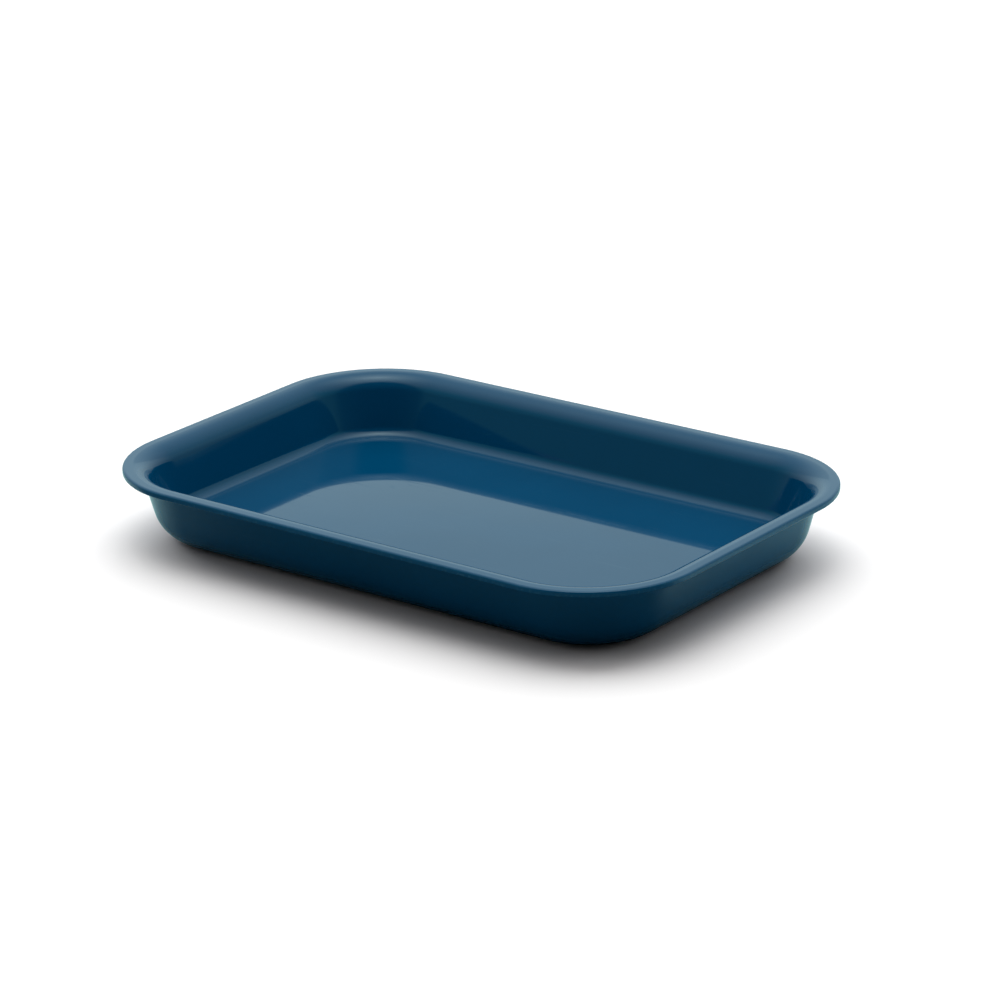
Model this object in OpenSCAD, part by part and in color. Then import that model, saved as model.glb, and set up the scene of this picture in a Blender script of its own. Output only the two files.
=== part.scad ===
// Shallow open pan with a flared rim, moulded in one piece.
// It stands flat on Z = 0, centred on the Z axis, with its long side along X.

/* [Overall size] */
// Length over the rim
pan_length = 305; // [240:1:380]
// Width over the rim
pan_width = 210; // [160:1:300]
// Height from the table to the top of the rim
pan_height = 35; // [28:0.5:60]
// Corner radius of the rim's outer edge, seen from above
corner_r = 54; // [45:1:75]

/* [Rim] */
// Thickness of the rim's lip
lip_t = 3.1; // [2.4:0.1:4.5]
// Flat width of the lip, before it rolls down into the wall
lip_flat_w = 4.3; // [3:0.1:8]
// Radius of the roll from the lip down into the wall
roll_r = 9.5; // [7:0.1:12]
// Radius that rounds the lip's outer edge, above and below
lip_edge_r = 1; // [0.4:0.1:1.15]
// Radius of the corner between the lip's underside and the outer wall
lip_root_r = 2; // [1:0.5:3]

/* [Walls and floor] */
// Lean of the walls from upright, in degrees
draft = 15.5; // [6:0.5:20]
// Thickness of the walls
wall_t = 3.6; // [2:0.1:4.5]
// Thickness of the floor
floor_t = 3.2; // [2:0.1:4.5]
// Height of the floor's underside above the table
floor_lift = 3.6; // [2:0.1:5]
// Radius inside the pan where the floor turns up into the wall
floor_fillet_r = 5.5; // [3:0.5:8]
// Radius outside the pan where the base turns up into the wall
base_round_r = 18; // [10:0.5:20]
// Width of the flat rim that the pan stands on
stand_w = 4; // [2:0.5:8]
// Radius of the corner inside the recess under the floor
recess_r = 2; // [1:0.5:2]
// Least height of the straight foot below that corner
recess_foot = 0.4; // [0.2:0.1:1]

/* [Hidden] */
$fn = 96;

// Half of the straight length and width between the corner centres.
straight_x = pan_length / 2 - corner_r;
straight_y = pan_width / 2 - corner_r;

// The profile below is drawn in (r, z), with r measured outwards from a corner's centre.
// across is the unit vector square to the wall, pointing out of the pan.
across = [cos(draft), -sin(draft)];

// Centre of the roll, which lies inside the material of the rim.
roll_c = [corner_r - lip_flat_w, pan_height - roll_r];
// Point where the roll meets the straight inner face of the wall.
roll_end = roll_c - roll_r * across;
// r on the inner face of the wall, and on its outer face, at height z.
function inner_face(z) = roll_end.x + (z - roll_end.y) * tan(draft);
function outer_face(z) = inner_face(z) + wall_t / cos(draft);

// Top of the floor, and centre of the fillet between floor and inner face.
floor_z = floor_lift + floor_t;
fillet_z = floor_z + floor_fillet_r;
fillet_c = [inner_face(fillet_z) - floor_fillet_r / cos(draft), fillet_z];
fillet_end = fillet_c + floor_fillet_r * across;

// Centre of the round between base and outer face.
base_c = [outer_face(base_round_r) - base_round_r / cos(draft), base_round_r];
base_end = base_c + base_round_r * across;

// Centre of the hollow round between the lip's underside and the outer face.
lip_under = pan_height - lip_t;
root_z = lip_under - lip_root_r;
root_c = [outer_face(root_z) + lip_root_r / cos(draft), root_z];
root_end = root_c - lip_root_r * across;

// The quarter of a circle that faces outwards and down from its centre.
module round_below(centre, radius) {
    intersection() {
        translate(centre)
            circle(radius);
        translate([centre.x, centre.y - radius])
            square(radius);
    }
}

// Section of the lip, a flat bar with rounded outer edges.
module lip_section() {
    start_r = roll_end.x;
    translate([start_r, lip_under])
        square([corner_r - lip_edge_r - start_r, lip_t]);
    translate([start_r, lip_under + lip_edge_r])
        square([corner_r - start_r, lip_t - 2 * lip_edge_r]);
    for (z = [lip_under + lip_edge_r, pan_height - lip_edge_r])
        translate([corner_r - lip_edge_r, z])
            circle(lip_edge_r);
}

// Section of the hollow corner that blends the lip's underside into the outer face.
module root_section() {
    difference() {
        polygon([
            [outer_face(lip_under), lip_under],
            [root_c.x, lip_under],
            root_c,
            root_end
        ]);
        translate(root_c)
            circle(lip_root_r);
    }
}

// Section of the pan's outside, as if it were filled from the base to the rim.
module outside_section() {
    polygon([
        [0, 0],
        [base_c.x, 0],
        base_c,
        base_end,
        [outer_face(lip_under), lip_under],
        [outer_face(lip_under), pan_height],
        [0, pan_height]
    ]);
    round_below(base_c, base_round_r);
    lip_section();
    root_section();
}

// Section of the hollow inside the pan, which runs on above the rim.
module hollow_section() {
    above = pan_height + roll_r;
    polygon([
        [0, floor_z],
        [fillet_c.x, floor_z],
        fillet_c,
        fillet_end,
        roll_end,
        [roll_end.x, above],
        [0, above]
    ]);
    round_below(fillet_c, floor_fillet_r);
    difference() {
        polygon([
            roll_end,
            roll_c,
            [roll_c.x, above],
            [roll_end.x, above]
        ]);
        translate(roll_c)
            circle(roll_r);
    }
}

// Section of the recess under the floor, inside the rim that the pan stands on.
// Its corner is limited by the depth of the recess.
module recess_section() {
    recess_end = base_c.x - stand_w;
    corner_end_r = min(recess_r, floor_lift - recess_foot);
    square([recess_end - corner_end_r, floor_lift]);
    square([recess_end, floor_lift - corner_end_r]);
    translate([recess_end - corner_end_r, floor_lift - corner_end_r])
        circle(corner_end_r);
}

// Section of the moulding itself: the outside less the hollow and the recess.
module wall_section() {
    difference() {
        outside_section();
        hollow_section();
        recess_section();
    }
}

// One corner: the section turned a quarter of the way round the corner's centre.
module corner() {
    rotate_extrude(angle = 90)
        wall_section();
}

// One straight side: the section run along a length, square to the side.
module side(length) {
    translate([0, length / 2, 0])
        rotate([90, 0, 0])
            linear_extrude(length)
                wall_section();
}

// The whole moulding: four corners, four sides and the floor between them.
module pan() {
    color("#0B4C6E") {
        translate([straight_x, straight_y, 0]) corner();
        translate([-straight_x, straight_y, 0]) rotate(90) corner();
        translate([-straight_x, -straight_y, 0]) rotate(180) corner();
        translate([straight_x, -straight_y, 0]) rotate(270) corner();
        translate([straight_x, 0, 0]) side(2 * straight_y);
        translate([-straight_x, 0, 0]) rotate(180) side(2 * straight_y);
        translate([0, straight_y, 0]) rotate(90) side(2 * straight_x);
        translate([0, -straight_y, 0]) rotate(270) side(2 * straight_x);
        translate([-straight_x, -straight_y, floor_lift])
            cube([2 * straight_x, 2 * straight_y, floor_t]);
    }
}

pan();
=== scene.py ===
"""Looks of a shallow one-piece pan: a glossy petrol-blue moulding that stands on a pale studio floor.

Lengths are in metres and angles in degrees, unless a name says otherwise. The pan's length, width and
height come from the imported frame. The sizes of its section repeat the named sizes of the design, and the
rest is worked out from them.
"""

import logging
import math
from dataclasses import dataclass, field
from enum import Enum

import bmesh
import bpy
from mathutils import Matrix, Vector


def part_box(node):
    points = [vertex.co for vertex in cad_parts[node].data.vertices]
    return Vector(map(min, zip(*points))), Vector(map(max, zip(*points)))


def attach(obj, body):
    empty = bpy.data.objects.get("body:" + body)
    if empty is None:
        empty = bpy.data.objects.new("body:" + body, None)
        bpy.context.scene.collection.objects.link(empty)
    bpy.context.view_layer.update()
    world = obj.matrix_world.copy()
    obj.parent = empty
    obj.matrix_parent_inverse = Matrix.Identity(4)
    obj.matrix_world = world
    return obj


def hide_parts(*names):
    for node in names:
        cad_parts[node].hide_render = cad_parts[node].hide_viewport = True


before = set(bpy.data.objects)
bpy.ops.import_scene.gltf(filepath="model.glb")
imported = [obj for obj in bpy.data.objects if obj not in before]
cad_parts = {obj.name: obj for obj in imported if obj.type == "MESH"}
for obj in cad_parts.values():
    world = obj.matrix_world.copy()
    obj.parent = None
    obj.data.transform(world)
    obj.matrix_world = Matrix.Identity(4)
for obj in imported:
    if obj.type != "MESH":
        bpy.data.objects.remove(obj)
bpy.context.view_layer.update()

MM = 0.001
WORN = "worn"
Colour = tuple[float, float, float, float]
Socket = bpy.types.NodeSocket
log = logging.getLogger("pan")


def compass(azimuth: float, elevation: float = 0.0) -> Vector:
    """Gives the direction towards a place round the pan.

    Args:
        azimuth: Angle round from the front, which is -Y, towards +X.
        elevation: Angle above the floor.

    Returns:
        The direction, one long.
    """
    turn, rise = math.radians(azimuth), math.radians(elevation)
    return Vector((math.sin(turn) * math.cos(rise), -math.cos(turn) * math.cos(rise), math.sin(rise)))


class NodeBench:
    """Puts nodes into a tree and joins them up."""

    def __init__(self, tree: bpy.types.NodeTree) -> None:
        """Takes an empty tree.

        Args:
            tree: Node tree of a material, a world or a group.
        """
        self.tree = tree

    def put(
        self, kind: str, inputs: dict[str | int, object] | None = None, **settings: object
    ) -> bpy.types.Node:
        """Adds one node.

        Args:
            kind: Type name of the node.
            inputs: Value or joined socket for each input, by its name or number.
            **settings: Settings of the node itself.

        Returns:
            The new node.
        """
        node = self.tree.nodes.new(kind)
        for name, value in settings.items():
            setattr(node, name, value)
        for key, value in (inputs or {}).items():
            if isinstance(value, Socket):
                self.tree.links.new(value, node.inputs[key])
            else:
                node.inputs[key].default_value = value
        return node

    def math(self, operation: str, *values: float | Socket) -> Socket:
        """Adds a Math node.

        Args:
            operation: Name of the operation.
            *values: Numbers or sockets that it works on.

        Returns:
            The node's result.
        """
        return self.put("ShaderNodeMath", dict(enumerate(values)), operation=operation).outputs[0]

    def add_up(self, first: Socket, *others: Socket) -> Socket:
        """Adds values together.

        Args:
            first: First value.
            *others: The other values.

        Returns:
            Their sum.
        """
        total = first
        for other in others:
            total = self.math("ADD", total, other)
        return total

    def ease(
        self, value: Socket, low: float, high: float, to_low: float = 0.0, to_high: float = 1.0
    ) -> Socket:
        """Eases a value from one range into another.

        Args:
            value: Value to change.
            low: Value that becomes to_low.
            high: Value that becomes to_high.
            to_low: Result at low and below.
            to_high: Result at high and above.

        Returns:
            The eased value.
        """
        ends = {0: value, 1: low, 2: high, 3: to_low, 4: to_high}
        return self.put("ShaderNodeMapRange", ends, interpolation_type="SMOOTHSTEP").outputs[0]

    def noise(self, place: Socket, size: float, detail: float = 2.0) -> Socket:
        """Adds a noise pattern.

        Args:
            place: Place on the piece.
            size: Length of one blot of the pattern.
            detail: Number of finer layers.

        Returns:
            The pattern, which lies around 0.5.
        """
        inputs = {"Vector": place, "Scale": 1.0 / size, "Detail": detail, "Roughness": 0.5}
        return self.put("ShaderNodeTexNoise", inputs).outputs[0]

    def blend(self, amount: float | Socket, base: object, other: object, how: str = "MIX") -> Socket:
        """Blends two colours.

        Args:
            amount: Share of the other colour.
            base: Colour that shows where the amount is 0.
            other: Colour that is laid over it.
            how: Way of blending.

        Returns:
            The blended colour.
        """
        inputs = {0: amount, 6: base, 7: other}
        return self.put("ShaderNodeMix", inputs, data_type="RGBA", blend_type=how).outputs[2]


class Effect(Enum):
    """Surface effects that the finishes share."""

    WAVES = "moulding_waves"
    SCRATCHES = "hairline_scratches"
    SMUDGES = "handling_smudges"
    RUBBED = "rubbed_edges"


class EffectLibrary:
    """Builds each surface effect once, as a node group that any finish can use."""

    WAVE_SIZE = 38 * MM
    PEEL_SIZE = 1.1 * MM
    HAIRLINE_TURNS = (17.0, 74.0, 139.0)
    HAIRLINE_LENGTH = 70 * MM
    HAIRLINE_GAP = 3.5 * MM
    HAIRLINE_WIDTH = 0.012
    HAIRLINE_PATCH = 0.7
    SMUDGE_SIZE = 42 * MM
    SMUDGE_GRAIN = 2.2 * MM
    GRIT_SIZE = 1.6 * MM
    GRIT_DEPTH = 1.4

    def __init__(self) -> None:
        """Starts with no groups."""
        self._groups: dict[Effect, bpy.types.NodeTree] = {}

    def use(self, bench: NodeBench, effect: Effect, **inputs: object) -> Socket:
        """Places an effect in a finish.

        Args:
            bench: Bench of the finish.
            effect: Effect to place.
            **inputs: Value or socket for each input of the effect.

        Returns:
            The effect's output.
        """
        if effect not in self._groups:
            makers = {
                Effect.WAVES: self._waves,
                Effect.SCRATCHES: self._scratches,
                Effect.SMUDGES: self._smudges,
                Effect.RUBBED: self._rubbed,
            }
            self._groups[effect] = makers[effect]()
        return bench.put("ShaderNodeGroup", inputs, node_tree=self._groups[effect]).outputs[0]

    def _start(self, effect: Effect, output: str, *values: str) -> tuple[NodeBench, bpy.types.Node]:
        """Starts a group that reads a place on the piece.

        Args:
            effect: Effect that the group makes.
            output: Name of its output.
            *values: Names of its number inputs.

        Returns:
            A bench for the group, and its input node.
        """
        tree = bpy.data.node_groups.new(effect.value, "ShaderNodeTree")
        tree.interface.new_socket(name="Place", in_out="INPUT", socket_type="NodeSocketVector")
        for name in values:
            tree.interface.new_socket(name=name, in_out="INPUT", socket_type="NodeSocketFloat")
        tree.interface.new_socket(name=output, in_out="OUTPUT", socket_type="NodeSocketFloat")
        bench = NodeBench(tree)
        return bench, bench.put("NodeGroupInput")

    def _waves(self) -> bpy.types.NodeTree:
        """Makes the slow waves and the fine peel that a mould leaves, as a height in millimetres.

        Returns:
            The group, with the depth of its waves and of its peel as inputs.
        """
        bench, given = self._start(Effect.WAVES, "Height", "Waves", "Peel")
        place = given.outputs["Place"]
        waves = bench.math("MULTIPLY", bench.noise(place, self.WAVE_SIZE, 1.0), given.outputs["Waves"])
        peel = bench.math("MULTIPLY", bench.noise(place, self.PEEL_SIZE, 1.0), given.outputs["Peel"])
        bench.put("NodeGroupOutput", {"Height": bench.add_up(waves, peel)})
        return bench.tree

    def _scratches(self) -> bpy.types.NodeTree:
        """Makes hairlines that run three ways, in patches.

        Returns:
            The group, with the share of the surface that is scratched as an input.
        """
        bench, given = self._start(Effect.SCRATCHES, "Mask", "Share")
        place = given.outputs["Place"]
        along, across = 1 / self.HAIRLINE_LENGTH, 1 / self.HAIRLINE_GAP
        lines = []
        for turn in self.HAIRLINE_TURNS:
            rotation = (math.radians(turn / 3), math.radians(turn / 5), math.radians(turn))
            mapping = {"Vector": place, "Rotation": rotation, "Scale": (along, across, across)}
            run = bench.put("ShaderNodeMapping", mapping).outputs[0]
            ridge = bench.math("ABSOLUTE", bench.math("SUBTRACT", bench.noise(run, 1.0, 1.0), 0.5))
            line = bench.ease(ridge, 0.0, self.HAIRLINE_WIDTH, 1.0, 0.0)
            patch = bench.noise(run, self.HAIRLINE_PATCH, 0.0)
            inside = bench.math("LESS_THAN", patch, given.outputs["Share"])
            lines.append(bench.math("MULTIPLY", line, inside))
        total = bench.math("MINIMUM", bench.add_up(*lines), 1.0)
        bench.put("NodeGroupOutput", {"Mask": total})
        return bench.tree

    def _smudges(self) -> bpy.types.NodeTree:
        """Makes the faint dull patches that hands leave.

        Returns:
            The group.
        """
        bench, given = self._start(Effect.SMUDGES, "Mask")
        place = given.outputs["Place"]
        broad = bench.ease(bench.noise(place, self.SMUDGE_SIZE, 3.0), 0.5, 0.72)
        broken = bench.ease(bench.noise(place, self.SMUDGE_GRAIN, 3.0), 0.35, 0.65, 0.4, 1.0)
        bench.put("NodeGroupOutput", {"Mask": bench.math("MULTIPLY", broad, broken)})
        return bench.tree

    def _rubbed(self) -> bpy.types.NodeTree:
        """Makes the broken rubbing along edges that touch other things.

        Returns:
            The group, with how exposed the surface is as an input.
        """
        bench, given = self._start(Effect.RUBBED, "Mask", "Exposed")
        grit = bench.noise(given.outputs["Place"], self.GRIT_SIZE, 4.0)
        spread = bench.math("MULTIPLY_ADD", grit, self.GRIT_DEPTH, -self.GRIT_DEPTH / 2)
        rubbed = bench.add_up(given.outputs["Exposed"], spread)
        bench.put("NodeGroupOutput", {"Mask": bench.ease(rubbed, 0.85, 1.25)})
        return bench.tree


@dataclass(frozen=True)
class MouldedPlastic:
    """Plastic with its colour all through it, as it comes out of a mould."""

    name: str
    pigment: Colour = (0.0005, 0.082, 0.196, 1.0)
    deeper: Colour = (0.0003, 0.077, 0.185, 1.0)
    rubbed: Colour = (0.018, 0.116, 0.224, 1.0)
    roughness: float = 0.03
    smudge: float = 0.02
    scratched: float = 0.3
    waves: float = 0.015
    peel: float = 0.0003
    cloud_size: float = 55 * MM
    rubbed_share: float = 0.6
    rubbed_dull: float = 0.2
    scratch_share: float = 0.15
    scratch_dull: float = 0.1
    scratch_mm: float = 0.0015
    ior: float = 1.5

    def make(self, effects: EffectLibrary) -> bpy.types.Material:
        """Makes the material.

        Args:
            effects: Library of the shared surface effects.

        Returns:
            The material.
        """
        material = bpy.data.materials.new(self.name)
        material.use_nodes = True
        material.node_tree.nodes.clear()
        bench = NodeBench(material.node_tree)
        place = bench.put("ShaderNodeTexCoord").outputs["Object"]
        exposed = bench.put("ShaderNodeAttribute", attribute_name=WORN).outputs["Fac"]
        scratch = effects.use(bench, Effect.SCRATCHES, Place=place, Share=self.scratched)
        smudge = effects.use(bench, Effect.SMUDGES, Place=place)
        rubbed = effects.use(bench, Effect.RUBBED, Place=place, Exposed=exposed)

        cloud = bench.ease(bench.noise(place, self.cloud_size, 3.0), 0.35, 0.65)
        colour = bench.blend(cloud, self.pigment, self.deeper)
        colour = bench.blend(bench.math("MULTIPLY", rubbed, self.rubbed_share), colour, self.rubbed)
        colour = bench.blend(bench.math("MULTIPLY", scratch, self.scratch_share), colour, self.rubbed)

        dull = bench.math("MULTIPLY_ADD", smudge, self.smudge, self.roughness)
        dull = bench.math("MULTIPLY_ADD", scratch, self.scratch_dull, dull)
        dull = bench.math("MULTIPLY_ADD", rubbed, self.rubbed_dull, dull)

        height = effects.use(bench, Effect.WAVES, Place=place, Waves=self.waves, Peel=self.peel)
        height = bench.math("MULTIPLY_ADD", scratch, -self.scratch_mm, height)
        bump = {"Strength": 1.0, "Distance": MM, "Height": height}
        normal = bench.put("ShaderNodeBump", bump).outputs["Normal"]

        shader = {"Base Color": colour, "Roughness": dull, "IOR": self.ior, "Normal": normal}
        surface = bench.put("ShaderNodeBsdfPrincipled", shader).outputs["BSDF"]
        bench.put("ShaderNodeOutputMaterial", {"Surface": surface})
        return material


@dataclass(frozen=True)
class SectionSizes:
    """Sizes of the moulding's section, which runs round the whole rim."""

    corner_r: float = 54 * MM
    lip_t: float = 3.1 * MM
    lip_flat_w: float = 4.3 * MM
    roll_r: float = 9.5 * MM
    lip_edge_r: float = 1.0 * MM
    lip_root_r: float = 2.0 * MM
    draft: float = 15.5
    wall_t: float = 3.6 * MM
    floor_t: float = 3.2 * MM
    floor_lift: float = 3.6 * MM
    floor_fillet_r: float = 5.5 * MM
    base_round_r: float = 18.0 * MM
    stand_w: float = 4.0 * MM
    stand_edge_r: float = 0.4 * MM
    recess_r: float = 2.0 * MM


class SectionPen:
    """Draws a section as one chain of edges, in (r, z), with r along +X from a corner's centre."""

    def __init__(self, bm: bmesh.types.BMesh, r: float, z: float, hold: float) -> None:
        """Puts the pen down.

        Args:
            bm: Mesh that takes the chain.
            r: Distance of the first point from the corner's centre.
            z: Height of the first point.
            hold: Length of the short edge at each end of a straight run, which keeps its shading flat.
        """
        self.bm = bm
        self.hold = hold
        self.worn = bm.verts.layers.float.new(WORN)
        self.tip = bmesh.ops.create_vert(bm, co=(r, 0.0, z))["vert"][0]
        self.verts = [self.tip]

    def _step_to(self, place: Vector, worn: float = 0.0) -> None:
        """Extrudes the tip to a place.

        Args:
            place: Where the new point goes.
            worn: How exposed to rubbing the new point is.
        """
        new = bmesh.ops.extrude_vert_indiv(self.bm, verts=[self.tip])["verts"][0]
        bmesh.ops.translate(self.bm, verts=[new], vec=place - new.co)
        new[self.worn] = worn
        self.tip = new
        self.verts.append(new)

    def line_to(self, r: float, z: float, worn: float = 0.0) -> None:
        """Draws a straight run with a short edge at each end.

        Args:
            r: Distance of the run's end from the corner's centre.
            z: Height of the run's end.
            worn: How exposed to rubbing the run is.
        """
        start, end = self.tip.co.copy(), Vector((r, 0.0, z))
        run = end - start
        if run.length > 3 * self.hold:
            self._step_to(start + run.normalized() * self.hold, worn)
            self._step_to(end - run.normalized() * self.hold, worn)
        self._step_to(end, worn)

    def arc(self, r: float, z: float, turn: float, steps: int, worn: float = 0.0) -> None:
        """Draws a round stretch by spinning the tip about a centre.

        Args:
            r: Distance of the arc's centre from the corner's centre.
            z: Height of the arc's centre.
            turn: Angle to turn, positive from +r towards +z.
            steps: Number of edges.
            worn: How exposed to rubbing the round stretch is.
        """
        before = set(self.bm.verts)
        centre, axis = (r, 0.0, z), (0.0, -1.0, 0.0)
        self.tip[self.worn] = max(worn, self.tip[self.worn])
        angle = math.radians(turn)
        bmesh.ops.spin(self.bm, geom=[self.tip], cent=centre, axis=axis, angle=angle, steps=steps)
        made = [v for v in self.bm.verts if v not in before]
        for v in made:
            v[self.worn] = worn
        self.verts.extend(made)
        self.tip = made[-1]


@dataclass
class Pan:
    """The whole moulding: a flat floor, leaning walls and a flared rim, all of one piece."""

    length: float
    width: float
    height: float
    section: SectionSizes = field(default_factory=SectionSizes)
    corner_steps: int = 32
    long_steps: int = 16
    short_steps: int = 8
    round_steps: int = 24
    fillet_steps: int = 16
    edge_steps: int = 8
    stand_steps: int = 4
    hold: float = 0.5 * MM
    merge_within: float = 0.01 * MM
    edge_wear: float = 0.8
    lower_edge_wear: float = 0.9

    @property
    def straight_x(self) -> float:
        """Half of the length between the corner centres."""
        return self.length / 2 - self.section.corner_r

    @property
    def straight_y(self) -> float:
        """Half of the width between the corner centres."""
        return self.width / 2 - self.section.corner_r

    def _draw_section(self, bm: bmesh.types.BMesh) -> list[bmesh.types.BMVert]:
        """Draws the section from the floor's top, over the rim and down to the floor's underside.

        Args:
            bm: Mesh that takes the chain.

        Returns:
            The chain's vertices in order.
        """
        s = self.section
        lean = math.radians(s.draft)
        across = Vector((math.cos(lean), -math.sin(lean)))
        quarter = 90 - s.draft
        roll = Vector((s.corner_r - s.lip_flat_w, self.height - s.roll_r))
        roll_end = roll - s.roll_r * across

        def inner_face(z: float) -> float:
            """Distance of the inner face from the corner's centre, at a height."""
            return roll_end.x + (z - roll_end.y) * math.tan(lean)

        def outer_face(z: float) -> float:
            """Distance of the outer face from the corner's centre, at a height."""
            return inner_face(z) + s.wall_t / math.cos(lean)

        floor_z = s.floor_lift + s.floor_t
        fillet_z = floor_z + s.floor_fillet_r
        fillet = Vector((inner_face(fillet_z) - s.floor_fillet_r / math.cos(lean), fillet_z))
        base = Vector((outer_face(s.base_round_r) - s.base_round_r / math.cos(lean), s.base_round_r))
        base_end = base + s.base_round_r * across
        under = self.height - s.lip_t
        root_z = under - s.lip_root_r
        root = Vector((outer_face(root_z) + s.lip_root_r / math.cos(lean), root_z))
        edge_r = s.corner_r - s.lip_edge_r
        stand_in = base.x - s.stand_w

        pen = SectionPen(bm, 0.0, floor_z, self.hold)
        pen.line_to(fillet.x, floor_z)
        pen.arc(fillet.x, fillet.y, quarter, self.fillet_steps)
        pen.line_to(roll_end.x, roll_end.y)
        pen.arc(roll.x, roll.y, -quarter, self.round_steps)
        pen.line_to(edge_r, self.height)
        pen.arc(edge_r, self.height - s.lip_edge_r, -90, self.edge_steps, worn=self.edge_wear)
        pen.line_to(s.corner_r, under + s.lip_edge_r, worn=1.0)
        pen.arc(edge_r, under + s.lip_edge_r, -90, self.edge_steps, worn=self.lower_edge_wear)
        pen.line_to(root.x, under)
        pen.arc(root.x, root.y, quarter, self.edge_steps)
        pen.line_to(base_end.x, base_end.y)
        pen.arc(base.x, base.y, -quarter, self.round_steps)
        stand_edge = stand_in + s.stand_edge_r
        pen.line_to(stand_edge, 0.0, worn=1.0)
        pen.arc(stand_edge, s.stand_edge_r, -90, self.stand_steps, worn=self.edge_wear)
        pen.line_to(stand_in, s.floor_lift - s.recess_r)
        pen.arc(stand_in - s.recess_r, s.floor_lift - s.recess_r, 90, self.edge_steps)
        pen.line_to(0.0, s.floor_lift)
        return pen.verts

    def _run_round(self, bm: bmesh.types.BMesh, chain: list[bmesh.types.BMVert]) -> None:
        """Runs the section round the pan: a quarter turn at each corner, and straight in between.

        Args:
            bm: Mesh that holds the chain.
            chain: The section's vertices, at the first corner's centre.
        """
        bmesh.ops.translate(bm, verts=chain, vec=(self.straight_x, self.straight_y, 0.0))
        geom = list(bm.verts) + list(bm.edges)
        corners = ((1, 1), (-1, 1), (-1, -1), (1, -1))
        sides = ((-1, 0), (0, -1), (1, 0), (0, 1))
        for (sx, sy), (dx, dy) in zip(corners, sides):
            centre = (sx * self.straight_x, sy * self.straight_y, 0.0)
            up, quarter = (0.0, 0.0, 1.0), math.pi / 2
            turned = bmesh.ops.spin(
                bm, geom=geom, cent=centre, axis=up, angle=quarter, steps=self.corner_steps
            )
            geom = turned["geom_last"]
            steps = self.long_steps if dx else self.short_steps
            step = Vector((2 * dx * self.straight_x, 2 * dy * self.straight_y, 0.0)) / steps
            for _ in range(steps):
                edges = [e for e in geom if isinstance(e, bmesh.types.BMEdge)]
                made = bmesh.ops.extrude_edge_only(bm, edges=edges)["geom"]
                geom = [g for g in made if not isinstance(g, bmesh.types.BMFace)]
                verts = [v for v in geom if isinstance(v, bmesh.types.BMVert)]
                bmesh.ops.translate(bm, verts=verts, vec=step)

    def _fill_middle(self, bm: bmesh.types.BMesh, z: float) -> None:
        """Lays a grid between the four corner centres.

        Args:
            bm: Mesh that takes the grid.
            z: Height of the grid.
        """
        grid = bmesh.ops.create_grid(bm, x_segments=self.long_steps, y_segments=self.short_steps, size=1.0)
        spread = Matrix.Diagonal((self.straight_x, self.straight_y, 1.0, 1.0))
        bmesh.ops.transform(bm, matrix=Matrix.Translation((0.0, 0.0, z)) @ spread, verts=grid["verts"])

    def build(self, gloss: bpy.types.Material, satin: bpy.types.Material) -> bpy.types.Object:
        """Models the moulding and dresses it.

        Args:
            gloss: Finish of all that shows when the pan stands.
            satin: Finish of the recess underneath.

        Returns:
            The pan as one closed mesh object.
        """
        bm = bmesh.new()
        chain = self._draw_section(bm)
        self._run_round(bm, chain)
        self._fill_middle(bm, self.section.floor_lift + self.section.floor_t)
        self._fill_middle(bm, self.section.floor_lift)
        bmesh.ops.remove_doubles(bm, verts=list(bm.verts), dist=self.merge_within)
        bmesh.ops.recalc_face_normals(bm, faces=list(bm.faces))
        for face in bm.faces:
            face.smooth = True
            face.material_index = int(self._in_recess(face))
        mesh = bpy.data.meshes.new("pan_shell")
        bm.to_mesh(mesh)
        bm.free()
        mesh.materials.append(gloss)
        mesh.materials.append(satin)
        obj = bpy.data.objects.new("pan_shell", mesh)
        bpy.context.scene.collection.objects.link(obj)
        return obj

    def _in_recess(self, face: bmesh.types.BMFace) -> bool:
        """Tells whether a face belongs to the recess underneath.

        Args:
            face: Face of the moulding.

        Returns:
            True if it looks down, or inwards from the stand rim, and lies above the table.
        """
        s = self.section
        middle = face.calc_center_median()
        outwards = Vector((middle.x, middle.y, 0.0)).normalized()
        below_floor = s.stand_edge_r < middle.z < s.floor_lift + self.hold / 5
        return below_floor and face.normal.dot(outwards) < 0.1


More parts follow.
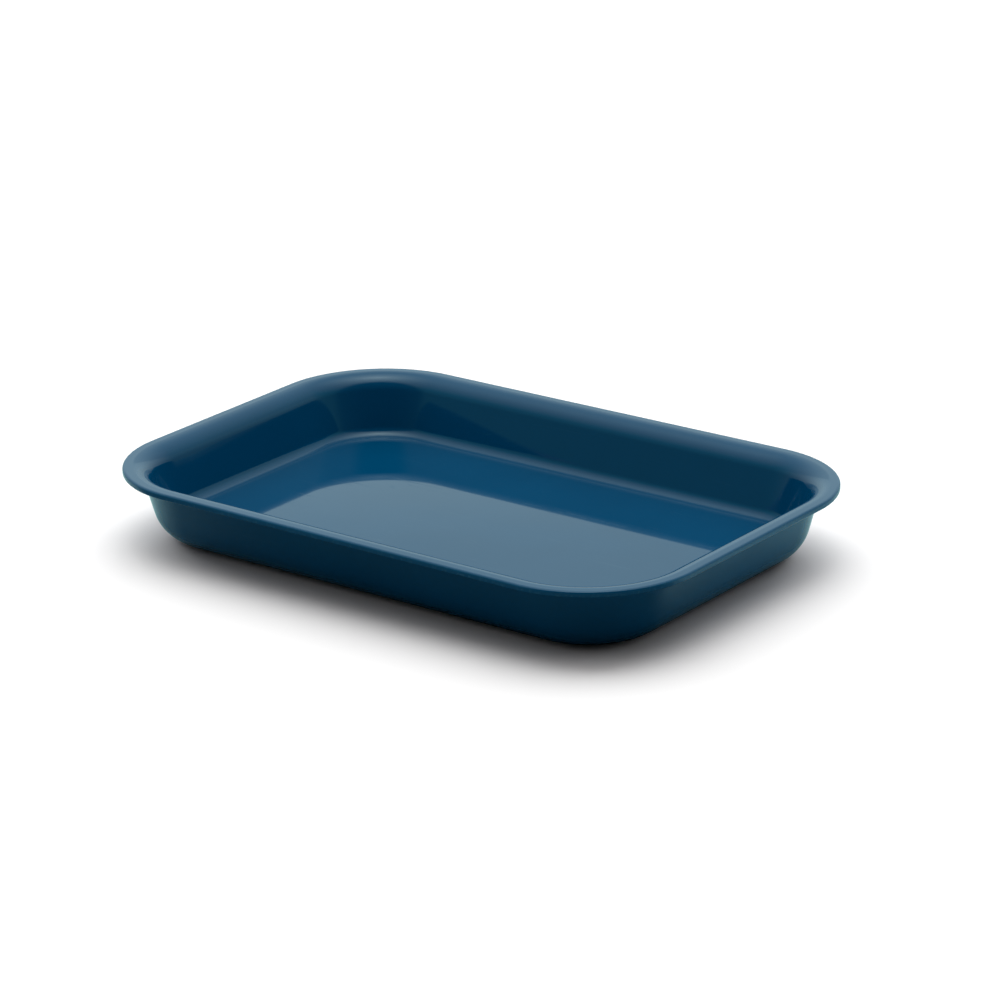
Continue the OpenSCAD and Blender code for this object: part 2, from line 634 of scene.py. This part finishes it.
@dataclass(frozen=True)
class StudioLight:
    """Soft surroundings: a wide light overhead, and a bright backdrop that fades towards the front.

    Shares run from 0 at the front to 1 at the middle of the backdrop. Heights are angles above the floor.
    """

    overhead: float = 4.0
    overhead_spread: float = 24.0
    overhead_none_share: float = 0.2
    overhead_full_share: float = 0.32
    backdrop: float = 0.6
    backdrop_azimuth: float = -143.0
    backdrop_fade: float = 1.6
    backdrop_foot: float = 0.55
    foot_height: float = 16.0
    fade_low: float = 30.0
    fade_high: float = 60.0
    horizon: float = 0.21
    horizon_low: float = 19.4
    horizon_high: float = 20.7
    tint: Colour = (0.78, 1.0, 1.0, 1.0)
    cold: Colour = (0.3, 1.0, 1.0, 1.0)
    cold_full_share: float = 0.35
    cold_none_share: float = 0.8
    cold_low: float = 20.0
    cold_high: float = 50.0

    @staticmethod
    def _rise(bench: NodeBench, up: Socket, low: float, high: float, to_low: float, to_high: float) -> Socket:
        """Eases a level between two heights.

        Args:
            bench: Bench of the world.
            up: Upward part of the direction.
            low: Height where the level starts to change.
            high: Height where it has changed.
            to_low: Level at low and below.
            to_high: Level at high and above.

        Returns:
            The level.
        """
        return bench.ease(up, math.sin(math.radians(low)), math.sin(math.radians(high)), to_low, to_high)

    def hang(self) -> bpy.types.World:
        """Makes the surroundings and gives them to the scene.

        Returns:
            The world.
        """
        world = bpy.data.worlds.new("studio")
        world.use_nodes = True
        world.node_tree.nodes.clear()
        bench = NodeBench(world.node_tree)
        towards = bench.put("ShaderNodeTexCoord").outputs["Generated"]
        height = bench.put("ShaderNodeSeparateXYZ", {"Vector": towards}).outputs["Z"]
        off_top = bench.math("DIVIDE", bench.math("ARCCOSINE", height), math.radians(self.overhead_spread))
        glow = bench.math("EXPONENT", bench.math("MULTIPLY", off_top, -1.0))
        aim = {0: towards, 1: compass(self.backdrop_azimuth)}
        facing = bench.put("ShaderNodeVectorMath", aim, operation="DOT_PRODUCT").outputs["Value"]
        half = bench.math("MULTIPLY_ADD", facing, 0.5, 0.5)
        shares = (self.overhead_none_share, self.overhead_full_share)
        top = bench.math("MULTIPLY", bench.ease(half, *shares, 0.0, self.overhead), glow)

        share = bench.math("POWER", half, self.backdrop_fade)
        bright = self.horizon + self.backdrop
        strip = self._rise(bench, height, self.horizon_low, self.horizon_high, bright, self.backdrop)
        upper = self._rise(bench, height, self.fade_low, self.fade_high, 1.0, 0.0)
        lower = self._rise(bench, height, 0.0, self.foot_height, self.backdrop_foot, 1.0)
        wall = bench.math("MULTIPLY", bench.math("MULTIPLY", upper, lower), strip)
        level = bench.math("MULTIPLY_ADD", share, wall, top)

        high = self._rise(bench, height, self.cold_low, self.cold_high, 0.0, 1.0)
        rays = bench.put("ShaderNodeLightPath")
        behind = bench.ease(half, self.cold_full_share, self.cold_none_share)
        near = bench.math("SUBTRACT", 1.0, bench.math("MAXIMUM", behind, high))
        mirrored = bench.math("MULTIPLY", near, rays.outputs["Is Glossy Ray"])
        colour = bench.blend(mirrored, self.tint, self.cold)
        soft = bench.put("ShaderNodeBackground", {"Color": colour, "Strength": level}).outputs[0]
        plain = bench.put("ShaderNodeBackground", {"Color": (1.0, 1.0, 1.0, 1.0)}).outputs[0]
        mix = {0: rays.outputs["Is Camera Ray"], 1: soft, 2: plain}
        shown = bench.put("ShaderNodeMixShader", mix).outputs[0]
        bench.put("ShaderNodeOutputWorld", {"Surface": shown})
        bpy.context.scene.world = world
        return world


@dataclass(frozen=True)
class FloorLight:
    """A broad soft light behind the pan that falls on the floor alone and steers the shadow."""

    azimuth: float = -140.8
    elevation: float = 42.0
    spread: float = 98.0
    strength: float = 4.4
    tint: tuple[float, float, float] = (0.75, 1.0, 1.0)

    def hang(self, floor: bpy.types.Object) -> bpy.types.Object:
        """Makes the light.

        Args:
            floor: The floor that it falls on.

        Returns:
            The light object.
        """
        data = bpy.data.lights.new("floor_light", "SUN")
        data.energy = self.strength
        data.angle = math.radians(self.spread)
        data.color = self.tint
        light = bpy.data.objects.new("floor_light", data)
        light.rotation_euler = compass(self.azimuth, self.elevation).to_track_quat("Z", "Y").to_euler()
        bpy.context.scene.collection.objects.link(light)
        lit = bpy.data.collections.new("lit_floor")
        lit.objects.link(floor)
        light.light_linking.receiver_collection = lit
        return light


@dataclass(frozen=True)
class StudioFloor:
    """A plain pale floor, which the camera sees as bright as the backdrop wherever no shadow falls."""

    radius: float = 6.0
    rim_steps: int = 96
    paint: Colour = (0.32, 0.41, 0.41, 1.0)
    # painted shade: to the pan's reflections and bounced light, the floor in front of the pan is painted this
    # darker colour, standing in for the shade that lies there
    painted_shade: Colour = (0.16, 0.20, 0.20, 1.0)
    # painted shade as the pan's reflections see it, darker still
    mirrored: Colour = (0.06, 0.09, 0.09, 1.0)
    # direction and distances over which the painted shade sets in, in front of the pan
    painted_shade_azimuth: float = 15.0
    painted_shade_from: float = 50 * MM
    painted_shade_to: float = 95 * MM
    shown: Colour = (0.885, 0.674, 0.674, 1.0)

    def lay(self) -> bpy.types.Object:
        """Makes the floor.

        Returns:
            The floor as a stage object.
        """
        bm = bmesh.new()
        bmesh.ops.create_circle(bm, cap_ends=True, segments=self.rim_steps, radius=self.radius)
        mesh = bpy.data.meshes.new("studio_floor")
        bm.to_mesh(mesh)
        bm.free()
        mesh.materials.append(self._paint())
        obj = bpy.data.objects.new("studio_floor", mesh)
        bpy.context.scene.collection.objects.link(obj)
        return obj

    def _paint(self) -> bpy.types.Material:
        """Makes the floor's paint.

        Returns:
            The material.
        """
        material = bpy.data.materials.new("floor_paint")
        material.use_nodes = True
        material.node_tree.nodes.clear()
        bench = NodeBench(material.node_tree)
        place = bench.put("ShaderNodeTexCoord").outputs["Object"]
        aim = {0: place, 1: compass(self.painted_shade_azimuth)}
        ahead = bench.put("ShaderNodeVectorMath", aim, operation="DOT_PRODUCT").outputs["Value"]
        rays = bench.put("ShaderNodeLightPath")
        # painted shade: for every ray but the camera's, the floor turns darker in front of the pan, and
        # darkest in reflections
        painted_shade = bench.blend(rays.outputs["Is Glossy Ray"], self.painted_shade, self.mirrored)
        paint = bench.blend(bench.ease(ahead, self.painted_shade_from, self.painted_shade_to), self.paint, painted_shade)
        real = bench.put("ShaderNodeBsdfDiffuse", {"Color": paint}).outputs[0]
        shown = bench.put("ShaderNodeBsdfDiffuse", {"Color": self.shown}).outputs[0]
        mix = {0: rays.outputs["Is Camera Ray"], 1: real, 2: shown}
        mixed = bench.put("ShaderNodeMixShader", mix).outputs[0]
        bench.put("ShaderNodeOutputMaterial", {"Surface": mixed})
        return material


@dataclass(frozen=True)
class ViewPoint:
    """A long-lens camera that looks down at the pan over one of its corners."""

    azimuth: float = 37.15
    elevation: float = 19.93
    roll: float = -0.97
    distance: float = 1.8678
    lens_mm: float = 146.81
    sensor_mm: float = 36.0
    aim_right: float = 0.0095
    aim_up: float = 0.0198
    clip_near: float = 0.05
    clip_far: float = 50.0

    def place(self) -> bpy.types.Object:
        """Creates the camera and makes it the scene's.

        Returns:
            The camera object.
        """
        back = compass(self.azimuth, self.elevation)
        level = compass(self.azimuth + 90)
        upright = back.cross(level)
        tip = math.radians(self.roll)
        right = math.cos(tip) * level + math.sin(tip) * upright
        up = back.cross(right)
        spot = back * self.distance + right * self.aim_right + up * self.aim_up
        data = bpy.data.cameras.new("camera")
        data.lens = self.lens_mm
        data.sensor_width = self.sensor_mm
        data.clip_start, data.clip_end = self.clip_near, self.clip_far
        camera = bpy.data.objects.new("camera", data)
        camera.matrix_world = Matrix.Translation(spot) @ Matrix((right, up, back)).transposed().to_4x4()
        bpy.context.scene.collection.objects.link(camera)
        bpy.context.scene.camera = camera
        return camera


def main() -> None:
    """Builds the pan, its studio and the camera, and reports each piece."""
    logging.basicConfig(level=logging.INFO, format="%(name)s: %(message)s")
    effects = EffectLibrary()
    gloss = MouldedPlastic("gloss_petrol_blue").make(effects)
    satin = MouldedPlastic("satin_petrol_blue", roughness=0.34, peel=0.004, waves=0.01).make(effects)
    low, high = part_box("pan")
    pan = Pan(length=high.x - low.x, width=high.y - low.y, height=high.z - low.z)
    shell = pan.build(gloss, satin)
    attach(shell, "root")
    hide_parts("pan")
    log.info("%s: %d faces", shell.name, len(shell.data.polygons))
    StudioLight().hang()
    floor = StudioFloor().lay()
    FloorLight().hang(floor)
    log.info("%s: radius %.1f m", floor.name, StudioFloor.radius)
    ViewPoint().place()
    bpy.context.scene.view_settings.view_transform = "Standard"


if __name__ == "__main__":
    main()
